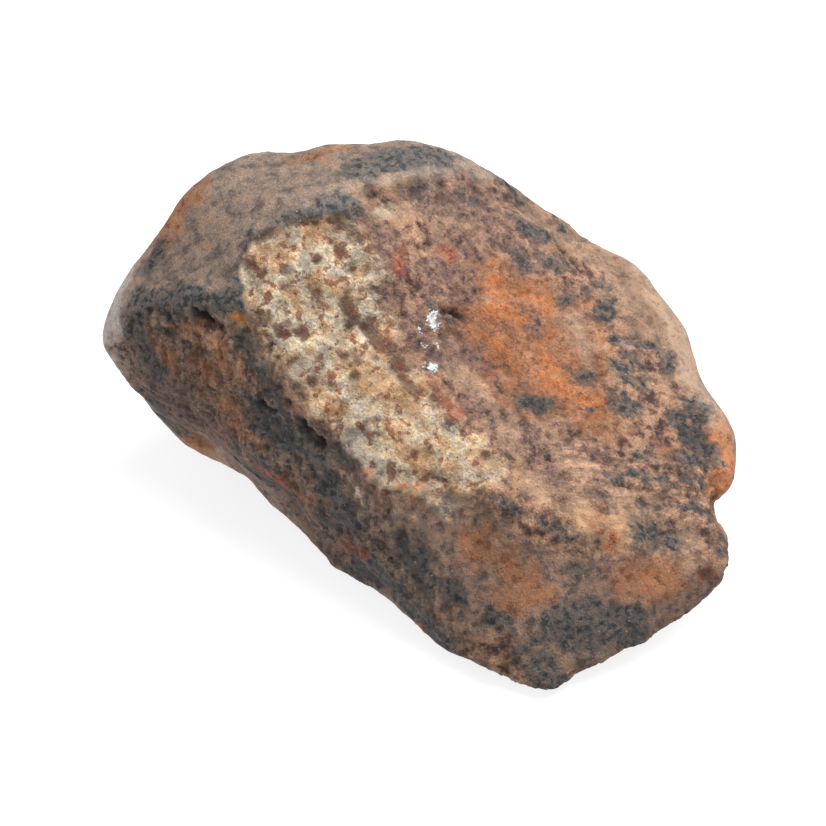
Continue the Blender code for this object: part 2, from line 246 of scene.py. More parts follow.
        ((-20.2, -12.2, 13.9), (-17.6, -12.9, 11.2), 0.75),
        ((-11.2, -11.3, 16.6), (-8.7, -12.1, 15.0), 0.75),
        ((-8.7, -12.1, 15.0), (-5.9, -12.7, 13.3), 0.75),
        ((-5.9, -12.7, 13.3), (-0.3, -13.2, 11.7), 0.75),
        ((-8.3, -12.9, 11.9), (-3.0, -13.2, 11.3), 1.5), ((-2.5, -13.6, 10.0), (0.5, -14.0, 8.0), 1.2),
        ((-9.9, -13.8, 8.4), (-9.6, -13.8, 8.4), 0.60), ((-7.8, -13.9, 8.5), (-7.4, -13.9, 8.3), 0.60),
        ((-2.0, -14.2, 6.2), (-1.8, -14.2, 5.8), 0.70), ((3.0, -14.9, 4.0), (9.0, -15.3, 1.5), 1.2),
        ((-13.2, -7.8, 20.4), (-13.9, -6.2, 21.3), 0.80),
        ((-13.9, -6.2, 21.3), (-12.9, -4.8, 21.7), 0.70),
        ((-12.9, -4.8, 21.7), (-10.7, -1.6, 22.5), 0.80), ((-10.7, -1.6, 22.5), (-9.2, 0.0, 22.3), 1.0),
        ((-12.6, -9.0, 19.5), (-11.8, -9.8, 19.0), 0.70),
        ((-21.3, -7.3, 17.5), (-21.5, -8.5, 16.6), 0.90),
     ]},
]

# What the fresh chip shows, and the rare bright grains: the same strokes, each with its own use below.
smallMarks = {
    "metal": [
        ((-1.0, -1.9, 17.1), (-0.7, -2.2, 16.9), 0.44), ((-1.3, -3.2, 16.9), (-0.9, -3.4, 16.7), 0.13),
        ((0.2, -3.2, 16.3), (0.4, -3.4, 16.2), 0.12), ((-0.3, -4.0, 16.4), (-0.1, -4.1, 16.3), 0.16),
        ((0.8, -5.0, 15.8), (1.1, -4.9, 15.7), 0.38),
    ],
    "ember": [
        ((-12.2, -10.7, 17.8), (-11.7, -10.5, 17.9), 0.30),
        ((-12.5, -4.9, 21.6), (-12.1, -4.4, 21.7), 0.12),
        ((3.4, -12.9, 11.6), (4.6, -12.0, 11.6), 0.08), ((1.2, -13.2, 12.3), (2.3, -13.2, 11.7), 0.02),
    ],
    "lip": [
        ((-13.5, -7.2, 20.8), (-13.7, -6.3, 21.2), 0.15),
        ((-13.7, -6.3, 21.2), (-12.7, -4.9, 21.7), 0.28),
        ((-12.2, -4.1, 21.9), (-10.6, -2.3, 22.3), 0.12),
        ((-9.8, -1.8, 22.3), (-8.7, -1.0, 22.0), 0.12),
        ((-12.2, -8.8, 19.7), (-13.2, -7.7, 20.5), 0.12),
    ],
    "chondrule": [((-10.3, -6.5, 20.4), (-10.2, -6.5, 20.4), 0.45)],
    "chipTan": [
        ((-12.6, -7.4, 20.7), (-11.0, -4.2, 21.5), 0.45),
        ((-11.0, -4.2, 21.5), (-9.6, -1.9, 21.8), 0.40),
        ((-11.6, -9.8, 18.9), (-10.2, -10.4, 18.0), 0.45), ((-1.6, -9.3, 16.1), (1.3, -8.3, 15.2), 1.1),
        ((-3.3, -9.3, 16.6), (-0.6, -7.5, 16.0), 0.8), ((2.3, -10.8, 14.1), (5.0, -10.8, 12.6), 0.8),
        ((3.0, -13.0, 11.9), (8.1, -10.0, 11.8), 0.45), ((-5.0, -11.3, 16.0), (-2.0, -11.6, 14.9), 0.6),
        ((-7.8, -5.6, 19.6), (-6.2, -5.0, 19.2), 0.35), ((6.0, -8.4, 13.2), (8.4, -8.2, 12.6), 0.5),
        ((-1.6, -6.6, 16.4), (1.2, -7.3, 15.3), 0.8),
    ],
    "tanSpot": [
        ((15.2, -6.4, 10.0), (17.6, -5.4, 9.5), 0.70), ((10.0, -7.6, 11.8), (12.0, -7.4, 11.2), 0.3),
    ],
    "palePatch": [
        ((-7.5, 1.1, 21.5), (-7.1, 1.5, 21.3), 0.35), ((-5.4, -2.6, 19.9), (-5.0, -2.9, 19.7), 0.2),
    ],
    "chipStain": [
        ((-7.4, -1.6, 21.2), (-9.2, -1.9, 21.6), 0.50),
        ((-13.0, -7.6, 20.6), (-11.8, -7.8, 20.2), 0.50),
        ((-9.6, -7.6, 19.8), (-9.0, -8.8, 19.2), 0.45), ((-6.0, -5.6, 19.2), (-4.6, -6.4, 18.4), 0.60),
        ((-4.0, -5.4, 18.2), (-2.4, -6.4, 17.4), 0.50),
        ((-12.0, -9.6, 19.0), (-9.0, -11.2, 17.0), 0.25),
        ((-9.0, -11.2, 17.0), (-5.0, -12.2, 15.0), 0.20),
        ((-10.3, -10.1, 18.5), (-8.6, -9.9, 18.0), 0.40),
        ((-7.6, -9.1, 18.3), (-7.0, -9.4, 17.9), 0.40), ((-8.6, -2.9, 21.0), (-7.6, -3.4, 20.4), 0.50),
        ((-4.2, -8.5, 17.5), (-3.4, -7.9, 17.1), 0.45), ((-2.2, -6.2, 16.9), (-0.4, -6.2, 16.2), 0.60),
        ((0.6, -7.4, 15.5), (1.4, -7.0, 15.3), 0.45), ((-5.5, -12.0, 15.4), (-5.2, -11.9, 15.4), 0.30),
        ((-3.9, -10.7, 16.3), (-3.6, -10.7, 16.2), 0.30),
    ],
    "chipGrey": [
        ((-6.3, -11.2, 16.9), (-4.4, -9.8, 16.8), 0.70),
        ((-0.2, -12.7, 13.4), (1.6, -12.9, 12.4), 0.70), ((-9.8, -5.2, 20.6), (-9.4, -5.8, 20.4), 0.40),
        ((-1.0, -11.6, 14.4), (0.2, -11.9, 13.7), 0.50),
    ],
}

# Dense smooth rock, where single grains hardly show: the lower end face, the right rim and the left tip.
calmPlaces = [
    ((7.5, -13.0, 7.5), (16.0, -11.0, 6.0), 2.6), ((16.0, -11.5, 5.0), (22.0, -5.0, 5.0), 3.2),
    ((5.0, 14.0, 13.0), (14.0, 11.5, 10.0), 2.2), ((14.0, 11.5, 10.0), (20.0, 7.5, 8.0), 2.0),
    ((20.0, 7.5, 8.0), (22.5, 3.5, 6.5), 1.6), ((-23.0, -12.5, 10.0), (-23.0, -8.5, 15.5), 1.5),
    ((-18.0, -12.0, 5.0), (-10.0, -13.0, 5.0), 2.2),
]

# Where the streaks run, beside the right end.
streakBand = [((12.5, -4.0, 11.6), (20.5, 2.0, 8.0), 3.0)]

# Sharp edges of the break, where the fresh chip ends in a crisp line.
ridges = [
    ((-12.6, -8.8, 19.5), (-11.6, -10.1, 18.5), 0.8), ((-11.6, -10.1, 18.5), (-8.0, -11.6, 16.4), 0.8),
    ((-8.0, -11.6, 16.4), (-3.7, -12.5, 14.4), 0.8), ((-3.7, -12.5, 14.4), (1.6, -13.4, 11.9), 0.8),
    ((1.6, -13.4, 11.9), (4.9, -12.0, 11.3), 0.8), ((4.9, -12.0, 11.3), (9.5, -9.5, 11.4), 0.8),
]

# Shallow thumbprints, melted into the crust on the far side: how many, and their least and greatest size.
thumbprints = {"count": 9, "reach": (2.6, 4.2), "depth": (0.35, 0.65)}

# Round pits in the upper wall, left where single grains fell out: 1.3 mm apart.
wallPits = {"spacing": 1.3, "width": 0.34, "slope": 1.3, "depth": 0.55}

seed = 11


def fineCopy(source):
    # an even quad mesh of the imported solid, fine enough to carry the grain
    mesh = source.data.copy()
    stone = bpy.data.objects.new("meteorite_body", mesh)
    bpy.context.scene.collection.objects.link(stone)
    remesh = stone.modifiers.new("even quads", "REMESH")
    remesh.mode = "VOXEL"
    remesh.voxel_size = stoneForm["pointSpacing"] * mm
    soften = stone.modifiers.new("soften facets", "SMOOTH")
    soften.factor = 0.5
    soften.iterations = stoneForm["facetSoftening"]
    graph = bpy.context.evaluated_depsgraph_get()
    stone.data = bpy.data.meshes.new_from_object(stone.evaluated_get(graph))
    stone.modifiers.clear()
    return stone


def placesAndNormals(mesh):
    places = np.zeros(len(mesh.vertices) * 3, np.float32)
    normals = np.zeros(len(mesh.vertices) * 3, np.float32)
    mesh.vertices.foreach_get("co", places)
    mesh.vertices.foreach_get("normal", normals)
    return places.reshape(-1, 3).astype(float) / mm, normals.reshape(-1, 3).astype(float)


def fractal(places, size, octaves, shift):
    # -1 to 1 or so, with features of the given size in mm
    moved = (places / size + shift).tolist()
    return np.array([noise.fractal(place, 0.9, 2.0, octaves) for place in moved])


def wander(places, size, reach, shift):
    # a vector at each place, so that a border drawn there goes its own way
    moved = (places / size + shift).tolist()
    return np.array([noise.noise_vector(place) for place in moved]) * reach


def rounded(mesh, places, share, rounds):
    # each point moves towards the mean of its neighbours, by its own share
    ends = np.zeros(len(mesh.edges) * 2, np.int32)
    mesh.edges.foreach_get("vertices", ends)
    first, second = ends.reshape(-1, 2).T
    count = np.bincount(first, minlength=len(places)) + np.bincount(second, minlength=len(places))
    made = places.copy()
    for _ in range(rounds):
        for axis in range(places.shape[1]):
            total = np.bincount(first, made[second, axis], len(places))
            total += np.bincount(second, made[first, axis], len(places))
            made[:, axis] += 0.5 * share * (total / count - made[:, axis])
    return made


def smoothStep(value, low, high):
    share = np.clip((value - low) / (high - low), 0, 1)
    return share * share * (3 - 2 * share)


def depthInStrokes(places, strokes):
    # mm inside the nearest stroke, negative outside
    best = np.full(len(places), -20.0)
    for start, end, radius in strokes:
        start, end = np.array(start), np.array(end)
        along = end - start
        share = np.clip((places - start) @ along / max(along @ along, 1e-6), 0, 1)
        gap = np.linalg.norm(places - start - share[:, None] * along, axis=1)
        best = np.maximum(best, radius - gap)
    return best


def depthInOutline(places, outline):
    # mm inside a closed outline seen from above, negative outside
    x, y = places[:, 0], places[:, 1]
    inside = np.zeros(len(places), bool)
    nearest = np.full(len(places), 1e9)
    for (x0, y0), (x1, y1) in zip(outline, outline[1:] + outline[:1]):
        across = (y0 > y) != (y1 > y)
        inside ^= across & (x < (x1 - x0) * (y - y0) / (y1 - y0 + 1e-9) + x0)
        edge = np.array((x1 - x0, y1 - y0))
        share = np.clip(((x - x0) * edge[0] + (y - y0) * edge[1]) / (edge @ edge), 0, 1)
        nearest = np.minimum(nearest, np.hypot(x - x0 - share * edge[0], y - y0 - share * edge[1]))
    return np.where(inside, nearest, -nearest)


def scattered(places, hidden, count, smallest, largest, draw):
    # strokes at random over the sides that the outlines above don't describe
    pool = places[hidden > 0.5]
    made = []
    for centre in pool[draw.integers(0, len(pool), count)]:
        run = draw.normal(size=3)
        run *= draw.uniform(0.4, 3.0) / np.linalg.norm(run)
        made.append((centre - run, centre + run, draw.uniform(smallest, largest)))
    return made


viewer = Vector((0.4056, -0.5792, 0.7071))   # from the stone towards the camera

stone = fineCopy(cadStone)
places, normals = placesAndNormals(stone.data)
print("stone: fine mesh", len(places), "points,", len(stone.data.polygons), "faces")

# the crust is rounded further, then moved back out by what the rounding shrank it
onCrust = smoothStep(-depthInOutline(places, brokenOutline), 0.2, 1.6)
onCrust *= smoothStep(places[:, 2], 1.0, 4.0)
softer = rounded(stone.data, places, onCrust, stoneForm["crustRounding"])
shrunk = np.sum((places - softer) * normals, axis=1)[:, None]
places = softer + normals * rounded(stone.data, shrunk, onCrust, stoneForm["crustRounding"])
stone.data.vertices.foreach_set("co", (places * mm).astype(np.float32).ravel())
stone.data.update()
places, normals = placesAndNormals(stone.data)

warped = places + wander(places, 2.2, 0.55, 3.1) + wander(places, 0.8, 0.22, 7.7)
lower = (normals[:, 2] + 0.35) * 4
broken = np.minimum(depthInOutline(warped, brokenOutline), lower)
patch = np.minimum(depthInOutline(warped, patchOutline), (normals[:, 2] - 0.3) * 6)
hidden = smoothStep(-(normals @ np.array(viewer)), -stoneForm["hiddenFrom"], 0.1)
hidden = np.maximum(hidden, smoothStep(-normals[:, 2], 0.1, 0.3))      # the underside too
draw = np.random.default_rng(seed)

fields = {"broken": broken, "patch": patch}
for stain in stains:
    seen = depthInStrokes(warped, stain["strokes"])
    unseen = depthInStrokes(warped, scattered(places, hidden, *stain["scatter"], draw))
    fields[stain["name"]] = np.maximum(seen, np.minimum(unseen, (hidden - 0.5) * 4))
nearby = places + wander(places, 0.6, 0.18, 1.3)
for name, strokes in smallMarks.items():
    fields[name] = depthInStrokes(nearby, strokes)
wall = smoothStep(-normals[:, 1], 0.72, 0.9) * smoothStep(-places[:, 1], 9.5, 11.5)
wallLine = 12.5 - 0.35 * (places[:, 0] + 20)          # above it the wall is pitted, below it smooth
fields["pitted"] = wall * smoothStep(places[:, 2], wallLine - 1.2, wallLine + 0.8)
fields["streaky"] = smoothStep(depthInStrokes(warped, streakBand), -0.5, 2.0)
fields["calm"] = smoothStep(depthInStrokes(warped, calmPlaces), -1.0, 1.0)
fields["ridge"] = smoothStep(depthInStrokes(places, ridges), -1.2, 0.2)
print("stone: stains placed,", len(fields), "fields")

brokenShare = smoothStep(broken, -0.35, 0.35)
relief = np.zeros(len(places))
for count, layer in enumerate(reliefLayers):
    share = layer["crust"] + (layer["broken"] - layer["crust"]) * brokenShare
    share = share * (1 - 0.6 * fields["calm"])
    relief += layer["height"] * share * fractal(places, layer["size"], 4, 20.0 * count + 5)
crustStep = stoneForm["crustStep"] * (0.5 - smoothStep(broken, -0.15, 0.25))
relief += crustStep * smoothStep(-abs(broken), -3.0, -0.4)
relief -= stoneForm["patchDepth"] * smoothStep(patch, -0.2, 0.3)
fabricPlaces = {}
for fabric in fabrics:
    along = np.array(fabric["along"]) / np.linalg.norm(fabric["along"])
    drawnOut = places - fabric["stretch"] * (places @ along)[:, None] * along
    relief += fabric["height"] * fields[fabric["where"]] * fractal(drawnOut, fabric["size"], 3, 60.0)
    fabricPlaces[fabric["where"]] = drawnOut
swelling = np.zeros(len(places))
for start, end, radius, height in swellings:
    swelling += height * np.exp(-((depthInStrokes(places, [(start, end, 0.0)]) / radius) ** 2))
turnedAway = -(normals @ np.array(viewer))
farSide = places[(turnedAway > 0.3) & (places[:, 2] > 3.5)]
for centre in farSide[draw.integers(0, len(farSide), thumbprints["count"])]:
    gap = np.linalg.norm(places - centre, axis=1) / draw.uniform(*thumbprints["reach"])
    depth = draw.uniform(*thumbprints["depth"])
    swelling -= depth * np.exp(-(gap ** 2)) * smoothStep(turnedAway, 0.0, 0.35)
relief += swelling
pitDepth = np.zeros(len(places))
pitted = np.where(fields["pitted"] > 0.05)[0]
for index in pitted:
    gaps, _ = noise.voronoi(Vector(places[index] / wallPits["spacing"]))
    pitDepth[index] = max(0.0, wallPits["width"] - gaps[0]) * wallPits["slope"]
relief -= wallPits["depth"] * fields["pitted"] * pitDepth
crooked = places + wander(places, 0.55, 0.35, 5.3)
for start, end, radius, depth in dents:
    reach = depthInStrokes(crooked, [(start, end, radius)])
    relief -= depth * smoothStep(reach, -0.25 * radius, 0.8 * radius)
fields["relief"] = relief - swelling
fade = smoothStep(places[:, 2], 0.05, 1.2)             # the resting facet stays flat
relief *= fade
moved = places + normals * relief[:, None]
moved[:, 2] = np.maximum(moved[:, 2], 0.0)
stone.data.vertices.foreach_set("co", (moved * mm).astype(np.float32).ravel())
stone.data.update()
print("stone: relief from", round(relief.min(), 2), "to", round(relief.max(), 2), "mm")

for name, values in fields.items():
    attribute = stone.data.attributes.new(name, "FLOAT", "POINT")
    attribute.data.foreach_set("value", values.astype(np.float32))
for name, values in fabricPlaces.items():
    attribute = stone.data.attributes.new(name + "Place", "FLOAT_VECTOR", "POINT")
    attribute.data.foreach_set("vector", values.astype(np.float32).ravel())
for face in stone.data.polygons:
    face.use_smooth = True


def layOutMap(mesh, margin):
    # six charts by direction from the middle, like the faces of a box: two columns of three rows
    half = np.array((23.7, 15.7, 11.5))
    middle = np.array((0.0, 0.0, 11.5))
    corners = np.zeros(len(mesh.loops), np.int32)
    mesh.loops.foreach_get("vertex_index", corners)
    starts = np.zeros(len(mesh.polygons), np.int32)
    counts = np.zeros(len(mesh.polygons), np.int32)
    mesh.polygons.foreach_get("loop_start", starts)
    mesh.polygons.foreach_get("loop_total", counts)
    order = np.argsort(starts)
    faceOf = np.zeros(len(corners), np.int64)
    faceOf[:] = np.repeat(order, counts[order])
    away = (placesAndNormals(mesh)[0] - middle) / half
    centres = np.stack([np.bincount(faceOf, away[corners][:, axis]) for axis in range(3)], axis=1)
    axis = np.argmax(abs(centres), axis=1)[faceOf]
    sign = np.sign(centres[np.arange(len(centres)), np.argmax(abs(centres), axis=1)])[faceOf]
    rows = {2: (0.0, 0.40), 1: (0.40, 0.30), 0: (0.70, 0.30)}          # axis: bottom and height
    across, upward = {2: 0, 1: 0, 0: 1}, {2: 1, 1: 2, 0: 2}
    uv = np.zeros((len(corners), 2))
    for way in range(3):
        here = axis == way
        depth = abs(away[corners[here], way])
        u = away[corners[here], across[way]] / depth * 0.5 + 0.5
        v = away[corners[here], upward[way]] / depth * 0.5 + 0.5
        u, v = margin + (1 - 2 * margin) * u, margin + (1 - 2 * margin) * v
        uv[here, 0] = 0.5 * u + np.where(sign[here] > 0, 0.5, 0.0)
        uv[here, 1] = rows[way][0] + rows[way][1] * v
    layer = mesh.uv_layers.new(name="OFBake")
    layer.data.foreach_set("uv", np.clip(uv, 0, 1).astype(np.float32).ravel())


def linearColour(hexColour):
    # sRGB hex to the linear values that a shader takes
    made = []
    for start in (1, 3, 5):
        part = int(hexColour[start:start + 2], 16) / 255
        made.append(part / 12.92 if part <= 0.04045 else ((part + 0.055) / 1.055) ** 2.4)
    return made + [1.0]


def addNode(tree, kind, links=None, stops=None, **settings):
    # one node with its settings, its socket values and its links
    node = tree.nodes.new(kind)
    for name, value in settings.items():
        setattr(node, name, value)
    for socket, value in (links or {}).items():
        if isinstance(value, bpy.types.NodeSocket):
            tree.links.new(value, node.inputs[socket])
        else:
            node.inputs[socket].default_value = value
    for count, (position, hexColour) in enumerate(stops or []):
        if count < 2:
            element = node.color_ramp.elements[count]
            element.position = position
        else:
            element = node.color_ramp.elements.new(position)
        element.color = linearColour(hexColour)
    return node


# The three grounds under the stains. hues run with the clumps of a size in mm, grit is how far single
# grains go lighter and darker, grain the size of a grain where it isn't 0.15 mm.
grounds = {
    # weathered ordinary chondrite where it is broken: matt, granular, brown from rusting iron
    "broken": {"hues": ("#432F29", "#6B4E44", "#886855", "#A47E61", "#937665"),
               "clump": 0.9, "grit": 0.32, "rough": 0.82},
    # fusion crust: the melted skin, dense and smooth, dull brown-grey with a faint sheen
    "crust": {"hues": ("#564A42", "#706056", "#806E60", "#8A705D"),
              "clump": 1.0, "grit": 0.34, "rough": 0.55},
    # fresh chip: cream, grey and tan silicate grains
    "chip": {"hues": ("#B6AA9A", "#CAB9A0", "#DCC8A8", "#D4B18B", "#C0956F"),
             "clump": 1.5, "grit": 0.32, "grain": 0.20},
}
# Between the pale grains of the chip: hollows that shade them, brown weathering, small round spots.
# The halo is rock round the chip that is a little fresher than the rest.
chip = {
    "shadeSize": 0.42, "shade": 0.24,
    "rustHex": "#7E4634", "rustSize": 0.85, "rustCover": 0.80,
    "spotHex": "#5C352A", "spotSpacing": 1.3, "spotRadius": 0.22,
    "haloReach": 0.9, "haloShare": 0.25,
    # mark, colour, how ragged, where its edge starts and ends in mm, how much it hides
    "tints": [("chipTan", "#BD8E62", 0.9, -0.7, 0.8, 0.75), ("chipGrey", "#B5AD9E", 0.8, -0.6, 0.6, 0.7),
              ("chipStain", "#64412F", -0.45, -0.15, 0.3, 0.8)],
}


# The marks that stand one by one on the weathered rock, in this order.
markLooks = {
    "lip": {"hue": "#38211B", "edge": 0.2, "ragged": 0.2, "cover": 0.9},
    "chondrule": {"hue": "#6E685E", "edge": 0.2, "ragged": 0.0, "cover": 0.8},
    "palePatch": {"hue": "#BFAD94", "edge": 0.4, "ragged": 0.7, "cover": 0.65},
    "tanSpot": {"hue": "#C39A76", "edge": 0.5, "ragged": 0.7, "cover": 0.85},
    "ember": {"hue": "#D08743", "edge": 0.2, "ragged": 0.3, "cover": 0.8},
}

# What goes over all of it: tiny pale specks that are painted glints and dark specks that are painted shade
# of pores, nickel-iron, hollows in painted shade and high grains painted paler, partly wear, and grit too
# fine for the mesh.
# chosen is the band of random values whose cells get a speck, sizes are in mm.
surface = {
    "speckSpacing": 0.48, "speckRadius": (0.08, 0.20),
    # the pale specks are painted glints, the dark specks painted shade of tiny pores
    "specks": [{"hue": "#B3A595", "chosen": (0.55, 0.60), "cover": 0.35},
               {"hue": "#2B211C", "chosen": (0.42, 0.37), "cover": 0.75}],
    "metalHue": "#BCC5CA", "metalRough": 0.3, "glintSize": 0.22,
    # painted shade in hollows and painted light on high grains: the relief in mm over which it runs, and
    # the colour factor from darkest to palest
    "hollowShadeDepth": (-0.50, 0.2), "hollowShadeRange": (0.15, 1.12),
    "gritSize": 0.17, "gritDepth": 0.16, "gritOnCrust": 0.45,
}


def clumpedColour(tree, place, look, offset, gritShare):
    # clumps of mineral in several hues, with single grains lighter and darker on top
    at = addNode(tree, "ShaderNodeVectorMath", {0: place, 1: (offset, -offset, 0.5 * offset)},
                 operation="ADD").outputs[0]
    clump = addNode(tree, "ShaderNodeTexNoise", {"Vector": at, "Scale": 1 / look["clump"], "Detail": 4.0,
                                                "Roughness": 0.6, "Distortion": 0.2})
    last = len(look["hues"]) - 1
    stops = [(0.36 + 0.28 * count / last, hexColour) for count, hexColour in enumerate(look["hues"])]
    hue = addNode(tree, "ShaderNodeValToRGB", {"Fac": clump.outputs["Fac"]}, stops)
    grains = addNode(tree, "ShaderNodeTexNoise", {"Vector": at, "Scale": 1 / look.get("grain", 0.15),
                                                 "Detail": 3.0, "Roughness": 0.68})
    grit = addNode(tree, "ShaderNodeMapRange", {"Value": grains.outputs["Fac"], "From Min": 0.34,
                                               "From Max": 0.66, "To Min": 1 - look["grit"],
                                               "To Max": 1 + look["grit"]})
    colour = addNode(tree, "ShaderNodeMix", {"Factor": gritShare, "A": hue.outputs[0],
                                            "B": grit.outputs[0]},
                     data_type="RGBA", blend_type="MULTIPLY").outputs[2]
    return colour, clump.outputs["Fac"]


def stoneMaterial():
    material = bpy.data.materials.new("weathered_chondrite")
    material.use_nodes = True
    tree = material.node_tree
    tree.nodes.clear()
    place = addNode(tree, "ShaderNodeTexCoord").outputs["Object"]
    place = addNode(tree, "ShaderNodeVectorMath", {0: place, 1: (1 / mm, 1 / mm, 1 / mm)},
                    operation="MULTIPLY").outputs[0]
    field = {}
    for name in fields:
        field[name] = addNode(tree, "ShaderNodeAttribute", attribute_name=name).outputs["Fac"]

    # two wandering edges that every stain shares, about 1 mm either way: one is wide, one fine
    wide = addNode(tree, "ShaderNodeTexNoise", {"Vector": place, "Scale": 1 / 1.5, "Detail": 4.0,
                                               "Roughness": 0.6})
    fine = addNode(tree, "ShaderNodeTexNoise", {"Vector": place, "Scale": 1 / 0.36, "Detail": 3.0,
                                               "Roughness": 0.65})
    edge = addNode(tree, "ShaderNodeMapRange", {"Value": wide.outputs["Fac"], "From Min": 0.3,
                                               "From Max": 0.7, "To Min": -1.2, "To Max": 1.2},
                   clamp=False)
    fineEdge = addNode(tree, "ShaderNodeMapRange", {"Value": fine.outputs["Fac"], "From Min": 0.3,
                                                   "From Max": 0.7, "To Min": -0.45, "To Max": 0.45},
                       clamp=False)
    edge = addNode(tree, "ShaderNodeMath", {0: edge.outputs[0], 1: fineEdge.outputs[0]},
                   operation="ADD").outputs[0]

    gritShare = addNode(tree, "ShaderNodeMapRange", {"Value": field["calm"], "To Min": 1.0,
                                                    "To Max": 0.3}).outputs[0]

    # broken rock and crust
    breakColour, _ = clumpedColour(tree, place, grounds["broken"], 0.0, gritShare)
    crustColour, _ = clumpedColour(tree, place, grounds["crust"], 40.0, gritShare)
    brokenEdge = addNode(tree, "ShaderNodeMath", {0: edge, 1: 0.3, 2: field["broken"]},
                         operation="MULTIPLY_ADD")
    isBroken = addNode(tree, "ShaderNodeMapRange", {"Value": brokenEdge.outputs[0], "From Min": -0.15,
                                                   "From Max": 0.25}).outputs[0]
    colour = addNode(tree, "ShaderNodeMix", {"Factor": isBroken, "A": crustColour, "B": breakColour},
                     data_type="RGBA").outputs[2]
    rough = addNode(tree, "ShaderNodeMix", {"Factor": isBroken, "A": grounds["crust"]["rough"],
                                           "B": grounds["broken"]["rough"]}, data_type="FLOAT").outputs[0]

    # the stains, one over the other
    for count, stain in enumerate(stains):
        border = addNode(tree, "ShaderNodeMath", {0: edge, 1: stain["ragged"] * (-1) ** count,
                                                 2: field[stain["name"]]}, operation="MULTIPLY_ADD")
        share = addNode(tree, "ShaderNodeMapRange", {"Value": border.outputs[0],
                                                    "From Min": -stain["edge"],
                                                    "From Max": stain["edge"]},
                        interpolation_type="SMOOTHSTEP")
        stainColour, clump = clumpedColour(tree, place, stain, 7.0 * count + 3.0, gritShare)
        thickness = addNode(tree, "ShaderNodeMapRange", {"Value": clump, "From Min": 0.42,
                                                        "From Max": 0.58, "To Min": stain["cover"][1],
                                                        "To Max": stain["cover"][0]})
        share = addNode(tree, "ShaderNodeMath", {0: share.outputs[0], 1: thickness.outputs[0]},
                        operation="MULTIPLY")
        colour = addNode(tree, "ShaderNodeMix", {"Factor": share.outputs[0], "A": colour,
                                                "B": stainColour}, data_type="RGBA").outputs[2]
        rough = addNode(tree, "ShaderNodeMix", {"Factor": share.outputs[0], "A": rough,
                                               "B": stain["rough"]}, data_type="FLOAT").outputs[0]

    # the fresh chip: its grey places, its brown stains, its small dark spots
    chipColour, _ = clumpedColour(tree, place, grounds["chip"], 80.0, 1.0)
    for name, tint, ragged, low, high, cover in chip["tints"]:
        tintEdge = addNode(tree, "ShaderNodeMath", {0: edge, 1: ragged, 2: field[name]},
                           operation="MULTIPLY_ADD")
        share = addNode(tree, "ShaderNodeMapRange", {"Value": tintEdge.outputs[0], "From Min": low,
                                                    "From Max": high, "To Max": cover})
        chipColour = addNode(tree, "ShaderNodeMix", {"Factor": share.outputs[0], "A": chipColour,
                                                    "B": linearColour(tint)}, data_type="RGBA").outputs[2]
    shading = addNode(tree, "ShaderNodeTexNoise", {"Vector": place, "Scale": 1 / chip["shadeSize"],
                                                  "Detail": 4.0, "Roughness": 0.6})
    shading = addNode(tree, "ShaderNodeMapRange", {"Value": shading.outputs["Fac"], "From Min": 0.36,
                                                  "From Max": 0.64, "To Min": 1 - chip["shade"],
                                                  "To Max": 1 + 0.6 * chip["shade"]})
    chipColour = addNode(tree, "ShaderNodeMix", {"Factor": 1.0, "A": chipColour, "B": shading.outputs[0]},
                         data_type="RGBA", blend_type="MULTIPLY").outputs[2]
    rustNoise = addNode(tree, "ShaderNodeTexNoise", {"Vector": place, "Scale": 1 / chip["rustSize"],
                                                    "Detail": 4.0, "Roughness": 0.55})
    isRust = addNode(tree, "ShaderNodeMapRange", {"Value": rustNoise.outputs["Fac"], "From Min": 0.56,
                                                 "From Max": 0.62, "To Max": chip["rustCover"]})
    chipColour = addNode(tree, "ShaderNodeMix", {"Factor": isRust.outputs[0], "A": chipColour,
                                                "B": linearColour(chip["rustHex"])},
                         data_type="RGBA").outputs[2]
    shifted = addNode(tree, "ShaderNodeTexNoise", {"Vector": place, "Scale": 1 / 0.4, "Detail": 2.0})
    spotPlace = addNode(tree, "ShaderNodeMix", {"Factor": 0.3, "A": place, "B": shifted.outputs["Color"]},
                        data_type="VECTOR")
    spots = addNode(tree, "ShaderNodeTexVoronoi", {"Vector": spotPlace.outputs[1],
                                                  "Scale": 1 / chip["spotSpacing"]})
    isSpot = addNode(tree, "ShaderNodeMapRange", {"Value": spots.outputs["Distance"],
                                                 "From Min": chip["spotRadius"] * 0.6,
                                                 "From Max": chip["spotRadius"] * 1.3, "To Min": 0.8,
                                                 "To Max": 0.0})
    chipColour = addNode(tree, "ShaderNodeMix", {"Factor": isSpot.outputs[0], "A": chipColour,
                                                "B": linearColour(chip["spotHex"])},
                         data_type="RGBA").outputs[2]
    wildness = addNode(tree, "ShaderNodeMapRange", {"Value": field["broken"], "From Min": 0.3,
                                                   "From Max": 2.5, "To Min": 0.2, "To Max": 0.6})
    crisp = addNode(tree, "ShaderNodeMapRange", {"Value": field["ridge"], "To Min": 1.0, "To Max": 0.15})
    wildness = addNode(tree, "ShaderNodeMath", {0: wildness.outputs[0], 1: crisp.outputs[0]},
                       operation="MULTIPLY")
    patchEdge = addNode(tree, "ShaderNodeMath", {0: edge, 1: wildness.outputs[0], 2: field["patch"]},
                        operation="MULTIPLY_ADD")
    halo = addNode(tree, "ShaderNodeMapRange", {"Value": patchEdge.outputs[0],
                                               "From Min": -chip["haloReach"], "From Max": 0.2,
                                               "To Max": chip["haloShare"]})
    haloShare = addNode(tree, "ShaderNodeMath", {0: halo.outputs[0], 1: isBroken}, operation="MULTIPLY")
    colour = addNode(tree, "ShaderNodeMix", {"Factor": haloShare.outputs[0], "A": colour,
                                            "B": chipColour}, data_type="RGBA").outputs[2]
